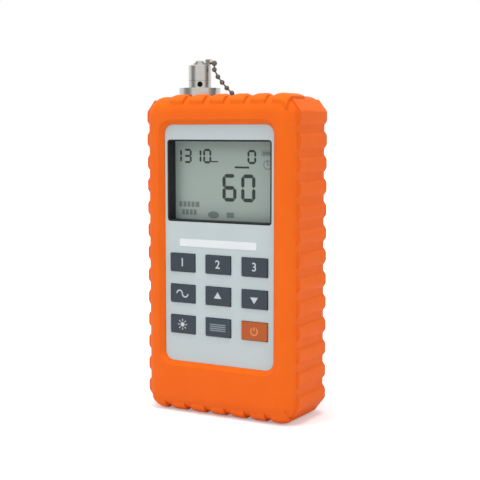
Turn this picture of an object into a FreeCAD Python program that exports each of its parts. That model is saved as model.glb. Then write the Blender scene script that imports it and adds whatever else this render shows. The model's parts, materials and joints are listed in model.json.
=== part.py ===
import FreeCAD, Part
import math
import os
import re
import Sketcher

# Optical power meter in a ribbed protective boot, standing upright.
# Millimetres. The front faces -Y, +X is to the right of someone who reads the display, +Z is up.
# The origin is on the ground, midway across the width and the depth of the boot.

doc = FreeCAD.newDocument("OpticalPowerMeter")
sheet = doc.addObject("Spreadsheet::Sheet", "Sizes")

sizes = [
    # boot envelope, measured over the rib crests
    ("boot_wide", 83.1), ("boot_tall", 153.0), ("boot_deep", 38.0), ("boot_wall", 3.2), ("boot_edge", 7.5),
    ("corner_across", 5.2), ("corner_up", 6.0), ("boot_gap", 0.15),
    # ribs
    ("rib_rise", 1.1), ("rib_pitch", 11.0), ("rib_crest", 4.6), ("rib_flank", 1.4), ("rib_ease", 0.4),
    ("side_rib_count", 13), ("base_rib_count", 7), ("top_rib_count", 5),
    ("side_rib_run", 27.6), ("end_rib_run", 36.2),
    # front and rear windows of the boot, by their margins from its crests
    ("panel_recess", 2.5), ("window_round", 4.5), ("lip_bevel", 2.2),
    ("window_side", 11.85), ("window_low", 25.0), ("window_high", 14.3),
    ("back_side", 14.55), ("back_low", 25.5), ("back_high", 21.5),
    # opening in the top of the boot
    ("top_open_deep", 21.4), ("top_open_left", 10.9), ("top_open_side", 14.05), ("top_open_cut", 3.0),
    # housing
    ("shell_wall", 2.2), ("shell_edge", 1.0), ("boss_side", 10.35), ("boss_end", 10.0), ("boss_dia", 6.4),
    ("screw_dia", 2.9), ("screw_head", 5.2), ("screw_head_tall", 2.6), ("screw_grip", 6.0),
    ("post_dia", 4.4), ("post_side", 13.55), ("post_high", 85.0), ("post_low", 22.0),
    ("board_screw_dia", 1.9), ("board_screw_head", 3.8), ("board_screw_tall", 1.2), ("board_screw_bite", 3.0),
    # display
    ("display_side", 1.3), ("display_tall", 39.0), ("display_drop", 40.9), ("display_round", 1.5),
    ("frame_wall", 0.8), ("frame_set", 0.2), ("frame_flange", 1.6), ("lens_thick", 1.2), ("lens_set", 0.3),
    ("glass_depth", 6.0), ("glass_thick", 2.2), ("glass_margin", 1.4), ("light_thick", 2.1),
    # keys
    ("key_wide", 13.8), ("key_tall", 8.6), ("key_round", 0.6), ("key_proud", 0.7), ("key_side", 0.3),
    ("key_pitch_up", 14.95), ("key_row_height", 57.95), ("key_gap", 0.2),
    ("key_flange", 0.9), ("key_flange_thick", 0.8), ("key_stem_wide", 6.0), ("key_stem_tall", 4.4),
    ("key_slack", 0.1), ("key_ease", 0.3), ("key_seat", 0.1),
    # rubber dome mat and circuit board
    ("mat_thick", 1.2), ("mat_side", 1.2), ("mat_tall", 42.0),
    ("dome_wide", 10.0), ("dome_high", 8.0), ("dome_tall", 2.6), ("dome_lean", 1.7),
    ("board_thick", 1.6), ("board_side", 3.3), ("board_end", 14.5),
    # fibre port
    ("port_side", 21.45), ("flange_dia", 20.0), ("flange_thick", 4.0), ("hub_dia", 16.0), ("hub_tall", 3.7),
    ("collar_dia", 10.9), ("collar_tall", 3.5), ("spigot_dia", 8.0), ("spigot_tall", 5.6),
    ("port_tail_dia", 12.0), ("port_tail", 5.6), ("sleeve_dia", 4.0), ("ferrule_dia", 2.5),
    ("nut_thick", 3.0), ("nut_flats", 15.0), ("can_dia", 9.2), ("can_tall", 4.4),
    ("grub_dia", 2.6), ("grub_turn", 32.0), ("grub_long", 1.4),
    # dust cap, its swivel and its chain
    ("cap_dia", 10.95), ("cap_tall", 7.5), ("cap_seat", 0.1), ("cap_chamfer", 0.45), ("thread_gap", 0.07),
    ("cap_end", 1.3), ("seal_thick", 0.5), ("rivet_dia", 2.6), ("rivet_head_dia", 4.7), ("rivet_head_tall", 1.2),
    ("tag_thick", 0.7), ("tag_dia", 6.4), ("tag_gap", 0.1), ("tag_reach", 6.4),
    ("lug_size", 2.5), ("lug_tall", 2.6), ("lug_ease", 0.3), ("link_free", 0.6),
    ("bead_dia", 2.4), ("bead_flats", 8), ("link_dia", 0.8), ("link_flats", 6),
    ("anchor_side", 20.55), ("anchor_back", 4.5), ("anchor_dia", 1.9), ("anchor_head_dia", 4.4),
    ("anchor_head_tall", 1.4), ("anchor_boss", 5.0), ("anchor_deep", 7.0),
    ("eyelet_dia", 5.2), ("eyelet_thick", 0.6),
    # batteries and their door
    ("cell_dia", 14.3), ("cell_long", 49.2), ("cell_pitch", 20.0), ("nipple_dia", 5.5), ("nipple_tall", 1.0),
    ("spring_long", 4.6), ("spring_wide", 7.0), ("contact_thick", 0.4), ("tray_wall", 1.4),
    ("door_wide", 38.0), ("door_tall", 58.0), ("door_foot", 29.5), ("door_thick", 1.8), ("door_gap", 0.3),
    ("door_round", 2.0), ("door_ledge", 1.2), ("door_set", 0.2),
    ("tab_wide", 8.0), ("tab_reach", 3.0), ("tab_root", 2.4), ("tab_thick", 1.2),
    ("door_screw_down", 4.4), ("door_screw_dia", 2.4), ("door_screw_head", 4.6), ("door_screw_long", 3.0),
    ("door_screw_head_tall", 1.2), ("latch_tall", 8.0), ("latch_wide", 5.4),
    ("grip_wide", 16.0), ("grip_bar", 1.2), ("grip_pitch", 2.6), ("grip_rise", 0.4), ("grip_down", 12.0),
]

# what follows from the sizes above
followers = [
    ("window_wide", "boot_wide - 2 * window_side"), ("window_tall", "boot_tall - window_low - window_high"),
    ("window_lift", "(window_low - window_high) / 2"),
    ("back_wide", "boot_wide - 2 * back_side"), ("back_tall", "boot_tall - back_low - back_high"),
    ("back_lift", "(back_low - back_high) / 2"),
    ("top_open_right", "boot_wide / 2 - top_open_side"),
    ("boss_out", "boot_wide / 2 - boss_side"), ("boss_up", "boot_tall / 2 - boss_end"),
    ("post_out", "boot_wide / 2 - post_side"),
    ("display_wide", "window_wide - 2 * display_side"), ("display_height", "boot_tall - display_drop"),
    ("key_pitch_across", "(window_wide - key_side) / 3"), ("mat_wide", "window_wide - 2 * mat_side"),
    ("board_wide", "window_wide + 2 * board_side"), ("board_tall", "boot_tall - 2 * board_end"),
    ("port_across", "port_side - boot_wide / 2"), ("anchor_across", "boot_wide / 2 - anchor_side"),
]

rows = sizes + [(alias, "=" + formula) for alias, formula in followers]
for row, (alias, content) in enumerate(rows, 1):
    sheet.set(f"A{row}", alias)
    sheet.set(f"B{row}", str(content))
    sheet.setAlias(f"B{row}", alias)
doc.recompute()
known = {alias for alias, content in rows}


def link(text):
    # writes an expression on the sheet's sizes from their plain names
    return re.sub(r"[a-z_]+", lambda word: "Sizes." + word.group() if word.group() in known else word.group(), text)


def bind(item, **settings):
    for name, text in settings.items():
        item.setExpression(name.replace("__", "."), link(text))


def place(item, across="0", back="0", up="0"):
    bind(item, Placement__Base__x=across, Placement__Base__y=back, Placement__Base__z=up)


def new_body(label, across="0", back="0", up="0"):
    body = doc.addObject("PartDesign::Body", label)
    body.Label = label
    place(body, across, back, up)
    return body


def new_sketch(body, role, across="0", up="0", out="0"):
    # on an origin plane: XZ_Plane looks along -Y, so a positive offset there is towards the front
    sketch = body.newObject("Sketcher::SketchObject", "Sketch")
    plane = next(item for item in body.Origin.OriginFeatures if item.Role == role)
    sketch.AttachmentSupport = [(plane, "")]
    sketch.MapMode = "FlatFace"
    bind(sketch, AttachmentOffset__Base__x=across, AttachmentOffset__Base__y=up, AttachmentOffset__Base__z=out)
    return sketch


def tie(sketch, kind, text, *where):
    index = sketch.addConstraint(Sketcher.Constraint(kind, *where, 1.0))
    name = f"{kind}{index}"
    sketch.renameConstraint(index, name)
    sketch.setExpression(f"Constraints.{name}", link(text))


def polygon(sketch, corners):
    # a closed outline; every corner is held by its own pair of sizes
    count = len(corners)
    first = sketch.GeometryCount
    turn = 2 * math.pi / count
    spots = [FreeCAD.Vector(9 * math.cos(turn * k), 9 * math.sin(turn * k), 0) for k in range(count)]
    for k in range(count):
        sketch.addGeometry(Part.LineSegment(spots[k], spots[(k + 1) % count]), False)
    for k in range(count):
        sketch.addConstraint(Sketcher.Constraint("Coincident", first + k, 2, first + (k + 1) % count, 1))
    for k, (across, up) in enumerate(corners):
        tie(sketch, "DistanceX", across, -1, 1, first + k, 1)
        tie(sketch, "DistanceY", up, -1, 1, first + k, 1)
    return sketch


def rectangle(sketch, wide, tall, across="0", up="0"):
    left, right = f"{across} - ({wide}) / 2", f"{across} + ({wide}) / 2"
    low, high = f"{up} - ({tall}) / 2", f"{up} + ({tall}) / 2"
    return polygon(sketch, [(left, low), (right, low), (right, high), (left, high)])


def circle(sketch, dia, across="0", up="0"):
    index = sketch.addGeometry(Part.Circle(FreeCAD.Vector(1, 1, 0), FreeCAD.Vector(0, 0, 1), 2), False)
    tie(sketch, "DistanceX", across, -1, 1, index, 3)
    tie(sketch, "DistanceY", up, -1, 1, index, 3)
    tie(sketch, "Diameter", dia, index)
    return sketch


def extrude(body, kind, sketch, length, both=False, backward=False):
    step = body.newObject("PartDesign::" + kind, kind)
    step.Profile = sketch
    step.Midplane = both
    step.Reversed = backward
    step.setExpression("Length", link(length))
    doc.recompute()
    return step


def pad(body, sketch, length, both=False, backward=False):
    return extrude(body, "Pad", sketch, length, both, backward)


def pocket(body, sketch, length, both=False, backward=False):
    # a pocket runs against its sketch's normal unless it is turned backward
    before = body.Shape.Volume
    step = extrude(body, "Pocket", sketch, length, both, backward)
    assert step.Shape.Volume < before - 1e-6, body.Label + ": the pocket cuts nothing"
    return step


def turned(body, corners, role="XZ_Plane", kind="Revolution"):
    # a profile of (radius, height) turned about the body's own Z axis
    sketch = polygon(new_sketch(body, role), corners)
    step = body.newObject("PartDesign::" + kind, kind)
    step.Profile = sketch
    step.ReferenceAxis = (sketch, ["V_Axis"])
    step.Angle = 360
    doc.recompute()
    return step


def dress(body, kind, size, choose):
    # rounds or chamfers the edges of the body's last step that choose() accepts
    base = body.Tip
    names = [f"Edge{n}" for n, edge in enumerate(base.Shape.Edges, 1) if choose(edge)]
    assert names, body.Label + ": no edge to dress"
    step = body.newObject("PartDesign::" + kind, kind)
    step.Base = (base, names)
    step.setExpression("Radius" if kind == "Fillet" else "Size", link(size))
    doc.recompute()
    return step


def repeat(body, step, length, count, across=True):
    # evenly spaced copies of one step along an axis of its sketch
    pattern = body.newObject("PartDesign::LinearPattern", "Pattern")
    pattern.Originals = [step]
    pattern.Direction = (step.Profile[0], ["H_Axis" if across else "V_Axis"])
    bind(pattern, Length=length, Occurrences=count)
    body.Tip = pattern
    doc.recompute()
    return pattern


def value(alias):
    return float(sheet.get(alias))


def span(edge):
    box = edge.BoundBox
    return box.XLength, box.YLength, box.ZLength


def runs_along(edge, axis, tolerance=1e-4):
    lengths = span(edge)
    return all(lengths[k] < tolerance for k in range(3) if k != axis) and lengths[axis] > tolerance


def outline(sketch, inset):
    # the boot's outline with its cut corners, moved inwards by inset from the valley surface
    wide, tall = f"(boot_wide / 2 - rib_rise - ({inset}))", f"(boot_tall / 2 - rib_rise - ({inset}))"
    slope = "(corner_across / corner_up)"
    cut_x = f"(corner_across - ({inset}) * (1 + {slope} - sqrt(1 + {slope} * {slope})))"
    cut_z = f"({cut_x} / {slope})"
    return polygon(sketch, [
        (f"-{wide}", f"-{tall} + {cut_z}"), (f"-{wide} + {cut_x}", f"-{tall}"),
        (f"{wide} - {cut_x}", f"-{tall}"), (wide, f"-{tall} + {cut_z}"),
        (wide, f"{tall} - {cut_z}"), (f"{wide} - {cut_x}", tall),
        (f"-{wide} + {cut_x}", tall), (f"-{wide}", f"{tall} - {cut_z}")])


def outline_block(body, inset, deep, all_round=False):
    # a block with the boot's outline; one radius rounds its corners, and its front and back edges too if asked
    pad(body, outline(new_sketch(body, "XZ_Plane"), inset), deep, both=True)
    dress(body, "Fillet", f"boot_edge - ({inset})", lambda edge: all_round or runs_along(edge, 1))


def rib_corners(side, depth, flared):
    # one rib with eased crest corners: side gives the crest, depth how far it is rooted under the valleys
    foot, ease = "(rib_crest / 2 + rib_flank)", "(rib_crest / 2 + rib_flank * rib_ease / rib_rise)"
    root = f"(rib_crest / 2 + rib_flank * (1 + ({depth}) / rib_rise))" if flared else foot
    half = [(f"{side} - rib_rise - ({depth})", root), (f"{side} - rib_rise", foot),
            (f"{side} - rib_ease", ease), (side, "(rib_crest / 2 - rib_ease)")]
    return half + [(up, f"-{across}") for up, across in reversed(half)]


def make_boot():
    # one moulding: a plain rounded block, and ribs that follow it round the edges to blunt ends
    block = new_body("BootBlock")
    outline_block(block, "0", "boot_deep", all_round=True)
    crest = new_body("RibCrests")
    outline_block(crest, "-rib_rise", "boot_deep + 2 * rib_rise", all_round=True)

    sides = new_body("SideRibs")
    pad(sides, outline(new_sketch(sides, "XZ_Plane"), "boot_wall / 2"), "side_rib_run", both=True)
    row = new_sketch(sides, "XZ_Plane", up="-(side_rib_count - 1) / 2 * rib_pitch")
    profile = rib_corners("boot_wide / 2", "boot_wall", flared=True)
    polygon(row, profile)
    polygon(row, [(f"-({across})", up) for across, up in profile])
    first = pad(sides, row, "side_rib_run", both=True)
    repeat(sides, first, "(side_rib_count - 1) * rib_pitch", "side_rib_count", across=False)

    limit = new_body("RibLimit")
    pad(limit, outline(new_sketch(limit, "XZ_Plane"), "-rib_rise"), "boot_deep", both=True)
    cropped = doc.addObject("Part::Common", "CroppedRibs")
    cropped.Base, cropped.Tool = sides, limit

    ends = new_body("EndRibs")
    pad(ends, outline(new_sketch(ends, "XZ_Plane"), "boot_wall / 2"), "side_rib_run", both=True)
    profile = rib_corners("boot_tall / 2", "2 * boot_wall", flared=False)
    for way, count in (("", "top_rib_count"), ("-", "base_rib_count")):
        row = new_sketch(ends, "XZ_Plane", across=f"-({count} - 1) / 2 * rib_pitch")
        polygon(row, [(across, f"{way}({up})") for up, across in profile])
        first = pad(ends, row, "end_rib_run", both=True)
        repeat(ends, first, f"({count} - 1) * rib_pitch", count)
    for way, backward in (("", False), ("-", True)):
        # the last rib at either end of the top is half as long
        last = new_sketch(ends, "XZ_Plane", across=f"{way}(top_rib_count + 1) / 2 * rib_pitch")
        polygon(last, [(across, up) for up, across in profile])
        pad(ends, last, "end_rib_run / 2", backward=backward)

    trimmed = doc.addObject("Part::Common", "TrimmedRibs")
    trimmed.Base, trimmed.Tool = ends, crest
    ribbed = doc.addObject("Part::MultiFuse", "RibbedBlock")
    ribbed.Shapes = [block, cropped, trimmed]
    ribbed.Refine = True
    doc.recompute()

    boot = new_body("rubber_boot", up="boot_tall / 2")
    boot.BaseFeature = ribbed
    doc.recompute()
    pocket(boot, outline(new_sketch(boot, "XZ_Plane"), "boot_wall"), "boot_deep - 2 * panel_recess", both=True)
    inner = value("boot_deep") / 2 - value("panel_recess")
    dress(boot, "Fillet", "boot_edge - boot_wall", lambda edge: (
        runs_along(edge, 1) and abs(edge.Length - 2 * inner) < 1e-4 and abs(edge.CenterOfMass.y) < 1e-4))
    for wide, tall, lift, front in (("window_wide", "window_tall", "window_lift", True),
                                    ("back_wide", "back_tall", "back_lift", False)):
        window = new_sketch(boot, "XZ_Plane", up=lift)
        pocket(boot, rectangle(window, wide, tall), "boot_deep / 2", backward=front)
        dress(boot, "Fillet", "window_round", lambda edge: (
            runs_along(edge, 1) and abs(edge.Length - value("panel_recess")) < 1e-4))
        half, face = value(wide) / 2 + 0.01, value("boot_deep") / 2 * (-1 if front else 1)
        dress(boot, "Chamfer", "lip_bevel", lambda edge: (
            span(edge)[1] < 1e-4 and abs(edge.CenterOfMass.y - face) < 1e-4 and abs(edge.CenterOfMass.x) < half))
    # the top is open round the port and the chain's screw, with cut corners
    hole = new_sketch(boot, "XY_Plane", out="boot_tall / 2 - rib_rise - 2 * boot_wall")
    left, right, half, cut = "(port_across - top_open_left)", "top_open_right", "top_open_deep / 2", "top_open_cut"
    polygon(hole, [(left, f"-{half} + {cut}"), (f"{left} + {cut}", f"-{half}"), (f"{right} - {cut}", f"-{half}"),
                   (right, f"-{half} + {cut}"), (right, f"{half} - {cut}"), (f"{right} - {cut}", half),
                   (f"{left} + {cut}", half), (left, f"{half} - {cut}")])
    pocket(boot, hole, "3 * boot_wall + rib_rise", backward=True)
    return boot


front_face = "(boot_deep / 2 - panel_recess)"
housing_inset = "(boot_wall + boot_gap)"
housing_top = "(boot_tall - rib_rise - boot_wall - boot_gap)"
board_face = f"({front_face} - glass_depth - glass_thick - light_thick)"
fit = "thread_gap"


def at_corners(sketch, dia, out, ups):
    for across in (f"-{out}", out):
        for up in ups:
            circle(sketch, dia, across, up)
    return sketch


def key_spots():
    rows = (("key_row_height + key_pitch_up", -1), ("key_row_height", 0), ("key_row_height - key_pitch_up", 1))
    return [(f"{column} * key_pitch_across", up) for up, row in rows for column in (-1, 0, 1)]


def half_shell(body, front):
    # one half of the housing: an open tray whose rim is in the middle plane
    pad(body, outline(new_sketch(body, "XZ_Plane"), housing_inset), front_face, backward=not front)
    dress(body, "Fillet", f"boot_edge - {housing_inset}", lambda edge: runs_along(edge, 1))
    face = value("boot_deep") / 2 - value("panel_recess")
    dress(body, "Chamfer", "shell_edge", lambda edge: span(edge)[1] < 1e-4 and abs(edge.CenterOfMass.y) > face - 1e-4)
    inner = outline(new_sketch(body, "XZ_Plane"), f"({housing_inset} + shell_wall)")
    pocket(body, inner, f"{front_face} - shell_wall", backward=front)
    bosses = at_corners(new_sketch(body, "XZ_Plane"), "boss_dia", "boss_out", ("boss_up", "-boss_up"))
    pad(body, bosses, f"{front_face} - shell_wall / 2", backward=not front)
    throat = new_sketch(body, "XY_Plane", out=f"{housing_top} - boot_tall / 2 + 1")
    pocket(body, circle(throat, f"port_tail_dia + 2 * {fit}", across="port_across"), "shell_wall + 3")


def make_front_shell():
    shell = new_body("front_shell", up="boot_tall / 2")
    half_shell(shell, front=True)
    pilots = at_corners(new_sketch(shell, "XZ_Plane"), f"screw_dia + 2 * {fit}", "boss_out", ("boss_up", "-boss_up"))
    pocket(shell, pilots, "screw_grip + 1", backward=True)
    posts = new_sketch(shell, "XZ_Plane", out=board_face)
    ups = ("post_high - boot_tall / 2", "post_low - boot_tall / 2")
    pad(shell, at_corners(posts, "post_dia", "post_out", ups), f"{front_face} - {board_face} - shell_wall / 2")
    pilots = new_sketch(shell, "XZ_Plane", out=board_face)
    pocket(shell, at_corners(pilots, f"board_screw_dia + 2 * {fit}", "post_out", ups), "board_screw_bite + 0.5",
           backward=True)
    windows = new_sketch(shell, "XZ_Plane", up="-boot_tall / 2")
    rectangle(windows, "display_wide", "display_tall", up="display_height")
    for across, up in key_spots():
        rectangle(windows, "key_wide + 2 * key_gap", "key_tall + 2 * key_gap", across, up)
    pocket(shell, windows, front_face, backward=True)
    wall, half = value("shell_wall"), value("display_wide") / 2
    dress(shell, "Fillet", "display_round", lambda edge: (
        runs_along(edge, 1) and abs(edge.Length - wall) < 1e-4 and abs(abs(edge.CenterOfMass.x) - half) < 1e-4))
    return shell


def make_rear_shell():
    shell = new_body("rear_shell", up="boot_tall / 2")
    half_shell(shell, front=False)
    # battery tray, its floor a little past the middle plane
    tray_floor = "(tray_wall + 0.2)"
    middle = "(door_foot + door_tall / 2 - boot_tall / 2)"
    tray = new_sketch(shell, "XZ_Plane", up=middle, out=tray_floor)
    rectangle(tray, "door_wide + 2 * tray_wall", "door_tall + 2 * tray_wall")
    pad(shell, tray, f"{front_face} - shell_wall / 2 + {tray_floor}", backward=True)
    well = new_sketch(shell, "XZ_Plane", up=middle, out="0.2")
    rectangle(well, "door_wide - 2 * door_ledge", "door_tall - 2 * door_ledge")
    pocket(shell, well, "boot_deep / 2")
    opening = new_sketch(shell, "XZ_Plane", up=middle, out=f"shell_wall - {front_face}")
    pocket(shell, rectangle(opening, "door_wide + 2 * door_gap", "door_tall + 2 * door_gap"), "2 * shell_wall")
    # block for the door's screw, and a slot for its tab
    block = new_sketch(shell, "XZ_Plane", out="tray_wall / 2")
    rectangle(block, "latch_wide", "latch_tall + door_ledge", up=f"{middle} + door_tall / 2 - latch_tall / 2")
    pad(shell, block, f"{front_face} - shell_wall + tray_wall / 2", backward=True)
    hole = new_sketch(shell, "XZ_Plane", out=f"door_screw_long + 1.5 - {front_face} + shell_wall")
    circle(hole, "door_screw_dia + 0.4", up=f"{middle} + door_tall / 2 - door_screw_down")
    pocket(shell, hole, "boot_deep / 2")
    slots = new_sketch(shell, "XY_Plane", out="door_foot - boot_tall / 2 + door_ledge + 0.5")
    rectangle(slots, "tab_wide + 2 * door_gap", "tab_reach", up=f"{front_face} - shell_wall - tab_reach / 2")
    pocket(shell, slots, "door_ledge + tray_wall + 1")
    # case screws pass down their bosses; their heads sit in counterbores under the boot
    for dia, out in ((f"screw_dia + 2 * {fit}", "1"), ("screw_head + 0.3", f"screw_grip - {front_face}")):
        shafts = new_sketch(shell, "XZ_Plane", out=out)
        pocket(shell, at_corners(shafts, dia, "boss_out", ("boss_up", "-boss_up")), "boot_deep")
    # boss and pilot hole for the chain's screw
    top = f"{housing_top} - boot_tall / 2"
    boss = new_sketch(shell, "XY_Plane", out=f"{top} - shell_wall / 2")
    pad(shell, circle(boss, "anchor_boss", "anchor_across", "anchor_back"), "anchor_deep", backward=True)
    pilot = new_sketch(shell, "XY_Plane", out=f"{top} + 1")
    pocket(shell, circle(pilot, f"anchor_dia + 2 * {fit}", "anchor_across", "anchor_back"), "anchor_deep")
    return shell


def make_display():
    depth = f"-{front_face}"
    frame = new_body("display_frame", back=depth, up="display_height")
    outer = new_sketch(frame, "XZ_Plane", out="-frame_set")
    pad(frame, rectangle(outer, f"display_wide - 2 * {fit}", f"display_tall - 2 * {fit}"), "glass_depth - frame_set",
        backward=True)
    dress(frame, "Fillet", "display_round", lambda edge: runs_along(edge, 1))
    collar = new_sketch(frame, "XZ_Plane", out="-shell_wall")
    rectangle(collar, "display_wide + 2 * frame_flange", "display_tall + 2 * frame_flange")
    pad(frame, collar, "frame_flange", backward=True)
    hollow = rectangle(new_sketch(frame, "XZ_Plane"), "display_wide - 2 * frame_wall", "display_tall - 2 * frame_wall")
    pocket(frame, hollow, "2 * glass_depth")

    lens = new_body("display_window", back=depth, up="display_height")
    pane = new_sketch(lens, "XZ_Plane", out="-frame_set - lens_set")
    rectangle(pane, f"display_wide - 2 * frame_wall - 2 * {fit}", f"display_tall - 2 * frame_wall - 2 * {fit}")
    pad(lens, pane, "lens_thick", backward=True)

    glass = new_body("lcd_glass", back=depth, up="display_height")
    cell = new_sketch(glass, "XZ_Plane", out="-glass_depth")
    pad(glass, rectangle(cell, "display_wide + 2 * glass_margin", "display_tall + 2 * glass_margin"), "glass_thick",
        backward=True)

    light = new_body("backlight", back=depth, up="display_height")
    panel = new_sketch(light, "XZ_Plane", out="-glass_depth - glass_thick")
    pad(light, rectangle(panel, "display_wide", "display_tall"), "light_thick", backward=True)
    return [frame, lens, glass, light]


def make_key(label, column, row):
    across, up = f"{column} * key_pitch_across", f"key_row_height - ({row}) * key_pitch_up"
    key = new_body(label, across, f"-{front_face}", up)
    cap = new_sketch(key, "XZ_Plane", out="key_proud")
    pad(key, rectangle(cap, "key_wide", "key_tall"), "key_proud + shell_wall + key_slack", backward=True)
    dress(key, "Chamfer", "key_round", lambda edge: runs_along(edge, 1))
    top = -value("key_proud")
    dress(key, "Chamfer", "key_ease", lambda edge: span(edge)[1] < 1e-4 and abs(edge.CenterOfMass.y - top) < 1e-4)
    rim = new_sketch(key, "XZ_Plane", out="-shell_wall - key_slack")
    pad(key, rectangle(rim, "key_wide + 2 * key_flange", "key_tall + 2 * key_flange"), "key_flange_thick", backward=True)
    stem = new_sketch(key, "XZ_Plane", out="-shell_wall - key_slack - key_flange_thick")
    depth = "glass_depth + glass_thick + light_thick - shell_wall - key_slack - key_flange_thick"
    pad(key, rectangle(stem, "key_stem_wide", "key_stem_tall"),
        f"{depth} - mat_thick - dome_tall - key_seat", backward=True)
    return key


def make_mat():
    mat = new_body("keypad_mat")
    sheet_face = f"{board_face} + mat_thick"
    base = new_sketch(mat, "XZ_Plane", up="key_row_height", out=sheet_face)
    pad(mat, rectangle(base, "mat_wide", "mat_tall"), "mat_thick", backward=True)
    domes = new_sketch(mat, "XZ_Plane", out=sheet_face)
    for across, up in key_spots():
        rectangle(domes, "dome_wide", "dome_high", across, up)
    step = pad(mat, domes, "dome_tall")
    step.setExpression("TaperAngle", link("-atan(dome_lean / dome_tall)"))
    doc.recompute()
    return mat


def make_board():
    board = new_body("main_board", up="boot_tall / 2")
    face = new_sketch(board, "XZ_Plane", out=board_face)
    pad(board, rectangle(face, "board_wide", "board_tall"), "board_thick", backward=True)
    holes = new_sketch(board, "XZ_Plane", out=board_face)
    ups = ("post_high - boot_tall / 2", "post_low - boot_tall / 2")
    pocket(board, at_corners(holes, "board_screw_dia + 0.4", "post_out", ups), "2 * board_thick")
    return board


def make_screws(label, spots, head_face, head_dia, head_tall, shank_dia, shank_long):
    # a set of like screws that run forwards from head_face, a distance in front of the middle plane
    screws = new_body(label)
    heads, shanks = new_sketch(screws, "XZ_Plane", out=head_face), new_sketch(screws, "XZ_Plane", out=head_face)
    for across, up in spots:
        circle(heads, head_dia, across, up)
        circle(shanks, shank_dia, across, up)
    pad(screws, heads, head_tall, backward=True)
    pad(screws, shanks, shank_long)
    return screws


def make_port():
    across, top = "port_across", housing_top
    flange_top = "(hub_tall + flange_thick)"
    port = new_body("port_body", across, up=top)
    bind(port, Placement__Rotation__Angle="grub_turn")
    turned(port, [("sleeve_dia / 2", "-port_tail"), ("port_tail_dia / 2", "-port_tail"), ("port_tail_dia / 2", "0"),
                  ("hub_dia / 2", "0"), ("hub_dia / 2", "hub_tall"), ("flange_dia / 2", "hub_tall"),
                  ("flange_dia / 2", flange_top), ("collar_dia / 2", flange_top),
                  ("collar_dia / 2", f"{flange_top} + collar_tall"), ("spigot_dia / 2", f"{flange_top} + collar_tall"),
                  ("spigot_dia / 2", f"{flange_top} + collar_tall + spigot_tall"),
                  ("sleeve_dia / 2", f"{flange_top} + collar_tall + spigot_tall")])
    hole = new_sketch(port, "XZ_Plane", up=f"{flange_top} + collar_tall / 2", out="sleeve_dia / 2 + 0.9")
    pocket(port, circle(hole, "grub_dia"), "collar_dia", backward=True)

    grub = new_body("set_screw", across, up=f"{top} + {flange_top} + collar_tall / 2")
    bind(grub, Placement__Rotation__Angle="grub_turn")
    end = new_sketch(grub, "XZ_Plane", out="sleeve_dia / 2 + 0.9")
    pad(grub, circle(end, f"grub_dia - {fit}"), "grub_long")

    sleeve = new_body("ferrule_sleeve", across, up=top)
    high = f"{flange_top} + collar_tall + spigot_tall - 0.4"
    turned(sleeve, [("ferrule_dia / 2", "0.5 - port_tail"), (f"sleeve_dia / 2 - {fit}", "0.5 - port_tail"),
                    (f"sleeve_dia / 2 - {fit}", high), ("ferrule_dia / 2", high)])

    nut = new_body("port_nut", across, up=f"{top} - shell_wall")
    ring = new_sketch(nut, "XY_Plane")
    reach, half = "(nut_flats / sqrt(3))", "nut_flats / 2"
    polygon(ring, [("0", reach), (f"-{half}", f"{reach} / 2"), (f"-{half}", f"-{reach} / 2"),
                   ("0", f"-{reach}"), (half, f"-{reach} / 2"), (half, f"{reach} / 2")])
    circle(ring, f"port_tail_dia + 2 * {fit}")
    pad(nut, ring, "nut_thick", backward=True)

    can = new_body("detector_can", across, up=f"{top} - port_tail")
    turned(can, [("0", "-can_tall"), ("can_dia / 2 + 0.7", "-can_tall"), ("can_dia / 2 + 0.7", "0.8 - can_tall"),
                 ("can_dia / 2", "0.8 - can_tall"), ("can_dia / 2", "0"), ("0", "0")])
    return [port, grub, sleeve, nut, can]


cap_foot = f"({housing_top} + hub_tall + flange_thick + collar_tall + cap_seat)"
cap_roof = f"({cap_foot} + cap_tall)"


def make_cap():
    across = "port_across"
    cap = new_body("dust_cap", across, up=cap_foot)
    bore, chamfer = f"spigot_dia / 2 + {fit}", "cap_chamfer"
    turned(cap, [(bore, "0"), ("cap_dia / 2", "0"), ("cap_dia / 2", f"cap_tall - {chamfer}"),
                 (f"cap_dia / 2 - {chamfer}", "cap_tall"), ("rivet_dia / 2", "cap_tall"),
                 ("rivet_dia / 2", "cap_tall - cap_end"), (bore, "cap_tall - cap_end")])

    seal = new_body("cap_seal", across, up=cap_foot)
    low = "cap_tall - cap_end - seal_thick"
    turned(seal, [("0", low), (f"{bore} - 0.1", low), (f"{bore} - 0.1", "cap_tall - cap_end"), ("0", "cap_tall - cap_end")])

    rivet = new_body("cap_rivet", across, up=cap_roof)
    neck, head = "rivet_dia / 2", "rivet_head_dia / 2"
    under = "tag_thick + 2 * tag_gap"
    turned(rivet, [("0", "-cap_end"), (neck, "-cap_end"), (neck, under), (head, under),
                   (head, f"{under} + 0.6 * rivet_head_tall"), (f"0.75 * {head}", f"{under} + rivet_head_tall"),
                   ("0", f"{under} + rivet_head_tall")])

    tag = new_body("swivel_tag", across, up=f"{cap_roof} + tag_gap")
    ring = new_sketch(tag, "XY_Plane")
    circle(ring, "tag_dia")
    circle(ring, "rivet_dia + 2 * tag_gap")
    pad(tag, ring, "tag_thick")
    arm = new_sketch(tag, "XY_Plane", across="tag_dia / 2 - 0.5 + (tag_reach - tag_dia / 2 + 0.5) / 2")
    pad(tag, rectangle(arm, "tag_reach - tag_dia / 2 + 0.5", "lug_size"), "tag_thick")
    lug = new_sketch(tag, "XY_Plane", across="tag_reach - lug_size / 2")
    pad(tag, rectangle(lug, "lug_size", "lug_size"), "lug_tall")
    dress(tag, "Chamfer", "lug_ease", lambda edge: edge.CenterOfMass.z > value("lug_tall") - 1e-4)
    return [cap, seal, rivet, tag]


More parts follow.
